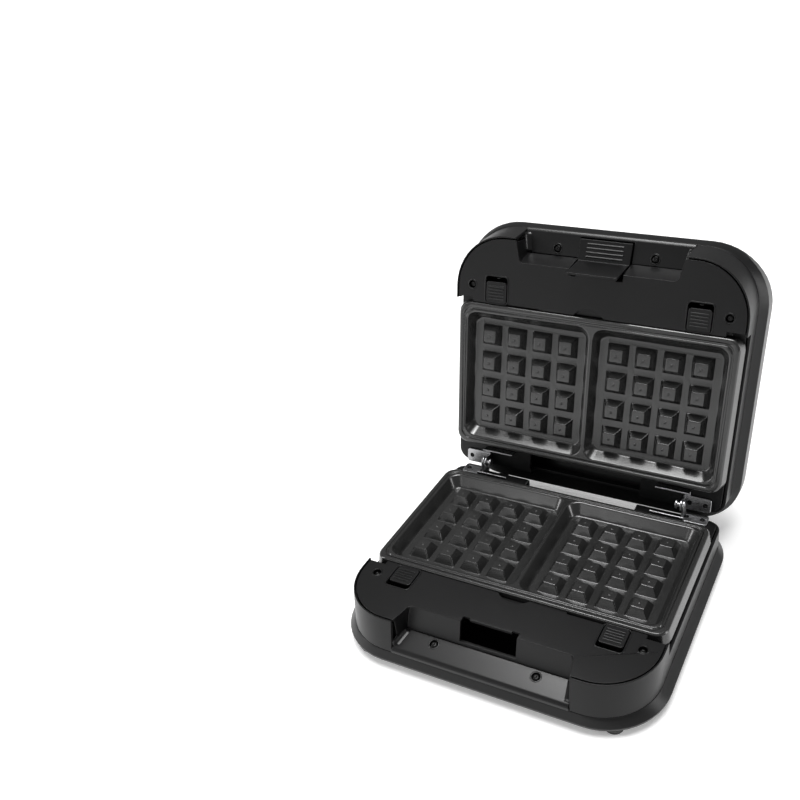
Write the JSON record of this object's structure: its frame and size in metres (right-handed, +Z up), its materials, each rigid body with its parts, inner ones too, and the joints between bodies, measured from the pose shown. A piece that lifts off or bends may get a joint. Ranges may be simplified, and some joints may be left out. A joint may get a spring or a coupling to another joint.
{
  "type": "waffle maker",
  "caption": "Two-slice electric waffle maker, hinged open, with removable gridded plates, release buttons, a front latch and a two-colour indicator lens.",
  "frame": {"origin": "on the table, centred in X and Y under the bounding box of the open waffle maker, at the underside of the feet", "axes": "+Z up, -Y to the front where the hand recess is, +X to the user's right as seen from the front"},
  "size_m": [0.2532, 0.292, 0.2369],
  "materials": {
    "shell_plastic": "satin dark grey moulding",
    "deck_plastic": "satin near-black moulding",
    "insert_plastic": "satin near-black moulding",
    "coated_aluminium": "dark grey non-stick coating over cast aluminium",
    "pan_steel": "bare pressed sheet",
    "element_steel": "dark oxidised sheath",
    "hinge_steel": "bright stamped steel",
    "spring_steel": "bright wire",
    "screw_steel": "blackened steel",
    "fitting_plastic": "pale heat-resistant moulding",
    "lamp_glass": "clear glass",
    "rubber": "soft black rubber",
    "red_lens": "translucent red",
    "green_lens": "translucent green"
  },
  "bodies": {
    "base": {"base_housing": "shell_plastic", "base_deck": "deck_plastic", "base_handle_insert": "insert_plastic", "base_cover": "shell_plastic", "lower_reflector_pan": "pan_steel", "lower_heating_element": "element_steel", "thermostat": "fitting_plastic", "thermal_fuse": "lamp_glass", "terminal_block": "fitting_plastic", "cord_gland": "rubber", "foot_front_left": "rubber", "foot_front_right": "rubber", "foot_rear_left": "rubber", "foot_rear_right": "rubber", "base_deck_screw_left": "screw_steel", "base_deck_screw_right": "screw_steel", "base_insert_screw_left": "screw_steel", "base_insert_screw_right": "screw_steel", "hinge_base_bracket_left": "hinge_steel", "hinge_base_bracket_right": "hinge_steel", "hinge_pin_left": "hinge_steel", "hinge_pin_right": "hinge_steel", "lower_button_spring_left": "spring_steel", "lower_button_spring_right": "spring_steel"},
    "lid": {"lid_housing": "shell_plastic", "lid_deck": "deck_plastic", "lid_handle_insert": "insert_plastic", "lid_cover": "shell_plastic", "upper_reflector_pan": "pan_steel", "upper_heating_element": "element_steel", "lens_red": "red_lens", "lens_green": "green_lens", "indicator_lamp_red": "lamp_glass", "indicator_lamp_green": "lamp_glass", "indicator_lamp_holder": "fitting_plastic", "latch_pin": "spring_steel", "latch_spring": "spring_steel", "lid_deck_screw_left": "screw_steel", "lid_deck_screw_right": "screw_steel", "lid_insert_screw_left": "screw_steel", "lid_insert_screw_right": "screw_steel", "hinge_lid_bracket_left": "hinge_steel", "hinge_lid_bracket_right": "hinge_steel", "upper_button_spring_left": "spring_steel", "upper_button_spring_right": "spring_steel"},
    "lower_plate": {"lower_plate": "coated_aluminium"},
    "upper_plate": {"upper_plate": "coated_aluminium"},
    "latch": {"latch": "deck_plastic"},
    "lower_release_button_left": {"lower_release_button_left": "deck_plastic"},
    "upper_release_button_left": {"upper_release_button_left": "deck_plastic"},
    "lower_release_button_right": {"lower_release_button_right": "deck_plastic"},
    "upper_release_button_right": {"upper_release_button_right": "deck_plastic"}
  },
  "joints": [
    {"name": "lid_hinge", "type": "hinge", "parent": "base", "child": "lid", "pos_m": [0, 0.05691, 0.0468], "axis": [-1, 0, 0], "range_deg": [-103.76, 0]},
    {"name": "latch_pivot", "type": "hinge", "parent": "lid", "child": "latch", "pos_m": [0, 0.11171, 0.21551], "axis": [-1, 0, 0], "range_deg": [0, 12], "stiffness_Nm_per_rad": 0.05, "springref_deg": -28.65},
    {"name": "lower_plate_lift", "type": "slide", "parent": "base", "child": "lower_plate", "axis": [0, 0, 1], "range_m": [0, 0.02]},
    {"name": "upper_plate_lift", "type": "slide", "parent": "lid", "child": "upper_plate", "axis": [0, -0.9713, 0.2379], "range_m": [0, 0.02]},
    {"name": "lower_release_left", "type": "slide", "parent": "base", "child": "lower_release_button_left", "axis": [0, -1, 0], "range_m": [0, 0.0036], "stiffness_N_per_m": 400, "springref_m": -0.004},
    {"name": "lower_release_right", "type": "slide", "parent": "base", "child": "lower_release_button_right", "axis": [0, -1, 0], "range_m": [0, 0.0036], "stiffness_N_per_m": 400, "springref_m": -0.004},
    {"name": "upper_release_left", "type": "slide", "parent": "lid", "child": "upper_release_button_left", "axis": [0, 0.2379, 0.9713], "range_m": [0, 0.0036], "stiffness_N_per_m": 400, "springref_m": -0.004},
    {"name": "upper_release_right", "type": "slide", "parent": "lid", "child": "upper_release_button_right", "axis": [0, 0.2379, 0.9713], "range_m": [0, 0.0036], "stiffness_N_per_m": 400, "springref_m": -0.004}
  ]
}
